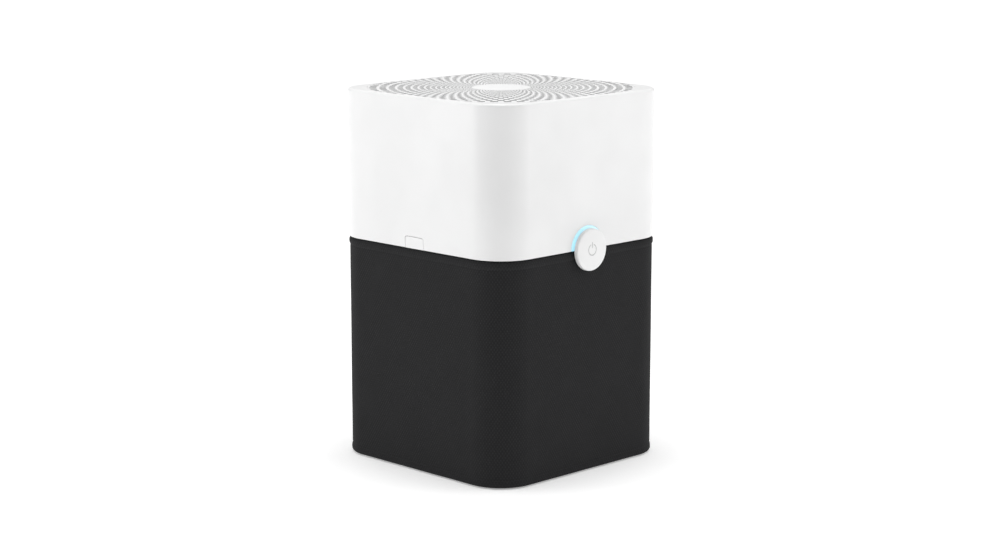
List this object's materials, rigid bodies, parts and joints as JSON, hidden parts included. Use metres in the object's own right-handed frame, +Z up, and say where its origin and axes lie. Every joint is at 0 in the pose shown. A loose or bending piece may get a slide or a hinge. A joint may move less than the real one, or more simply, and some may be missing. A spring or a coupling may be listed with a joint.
{
  "type": "air purifier",
  "caption": "Upright room air purifier: square rounded tower with a white fan head, top outlet grille and front button, standing on a fabric-sleeved filter base.",
  "frame": {"origin": "on the floor, under the middle of the housing", "axes": "+Z up, front with the button faces -Y, +X to the right of the button as seen from behind it"},
  "size_m": [0.3334, 0.35, 0.518],
  "materials": {
    "white_shell": "satin",
    "black_frame": "matte",
    "fan": "satin",
    "rubber": "matte",
    "fabric": "matte",
    "filter_media": "matte",
    "carbon": "matte",
    "foam": "matte",
    "light": "satin",
    "zinc": "satin",
    "steel": "satin",
    "copper": "satin",
    "board": "satin",
    "terminals": "satin"
  },
  "bodies": {
    "base": {"base_tray": "black_frame", "cage_rim": "black_frame", "cage_post_front_left": "black_frame", "cage_post_front_right": "black_frame", "cage_post_back_right": "black_frame", "cage_post_back_left": "black_frame", "cage_stile_front": "black_frame", "cage_stile_back": "black_frame", "cage_stile_left": "black_frame", "cage_stile_right": "black_frame", "foot_front_left": "rubber", "foot_front_right": "rubber", "foot_back_right": "rubber", "foot_back_left": "rubber"},
    "prefilter": {"prefilter_hem_top": "fabric", "prefilter_sleeve": "fabric", "prefilter_hem_bottom": "fabric"},
    "filter": {"filter_frame_bottom": "white_shell", "filter_media": "filter_media", "filter_carbon_wrap": "carbon", "filter_frame_top": "white_shell", "filter_gasket": "foam", "filter_pull_tab": "fabric"},
    "head": {"head_shell": "white_shell", "top_grille": "white_shell", "intake_plate": "black_frame", "intake_guard": "black_frame", "fan_frame": "black_frame", "guide_vanes": "black_frame", "motor_cup": "black_frame", "frame_screw_front_left": "zinc", "frame_screw_front_right": "zinc", "frame_screw_back_right": "zinc", "frame_screw_back_left": "zinc", "motor_can": "zinc", "motor_end_cap": "zinc", "motor_stator": "copper", "bearing_lower": "steel", "bearing_upper": "steel", "button_pod": "white_shell", "light_ring": "light", "button_board": "board", "tact_switch": "black_frame", "led_left": "light", "led_right": "light", "button_spring": "steel", "latch_left_spring": "steel", "latch_right_spring": "steel", "power_board": "board", "motor_capacitor": "black_frame", "mains_terminals": "terminals", "cord_gland": "rubber"},
    "rotor": {"impeller": "fan", "motor_shaft": "steel", "motor_rotor": "zinc", "impeller_nut": "zinc"},
    "button": {"button_cap": "white_shell"},
    "latch_left_body": {"latch_left": "white_shell"},
    "latch_right_body": {"latch_right": "white_shell"}
  },
  "joints": [
    {"name": "head_lift", "type": "slide", "parent": "base", "child": "head", "axis": [0, 0, 1], "range_m": [0, 0.66]},
    {"name": "filter_lift", "type": "slide", "parent": "base", "child": "filter", "axis": [0, 0, 1], "range_m": [0, 0.33]},
    {"name": "prefilter_lift", "type": "slide", "parent": "base", "child": "prefilter", "axis": [0, 0, 1], "range_m": [0, 0.33]},
    {"name": "fan_spin", "type": "hinge", "parent": "head", "child": "rotor", "pos_m": [0, 0, 0.38], "axis": [0, 0, 1], "continuous": true},
    {"name": "button_press", "type": "slide", "parent": "head", "child": "button", "axis": [0, 1, 0], "range_m": [0, 0.0012], "stiffness_N_per_m": 1500, "springref_m": -0.0012, "deforming": ["button_spring"]},
    {"name": "latch_left_press", "type": "slide", "parent": "head", "child": "latch_left_body", "axis": [1, 0, 0], "range_m": [0, 0.004], "stiffness_N_per_m": 800, "springref_m": -0.002, "deforming": ["latch_left_spring"]},
    {"name": "latch_right_press", "type": "slide", "parent": "head", "child": "latch_right_body", "axis": [-1, 0, 0], "range_m": [0, 0.004], "stiffness_N_per_m": 800, "springref_m": -0.002, "deforming": ["latch_right_spring"]}
  ],
  "couplings": [
    {"joint": "filter_lift", "follows": "head_lift", "ratio": 0.5},
    {"joint": "prefilter_lift", "follows": "head_lift", "ratio": 0.5}
  ]
}
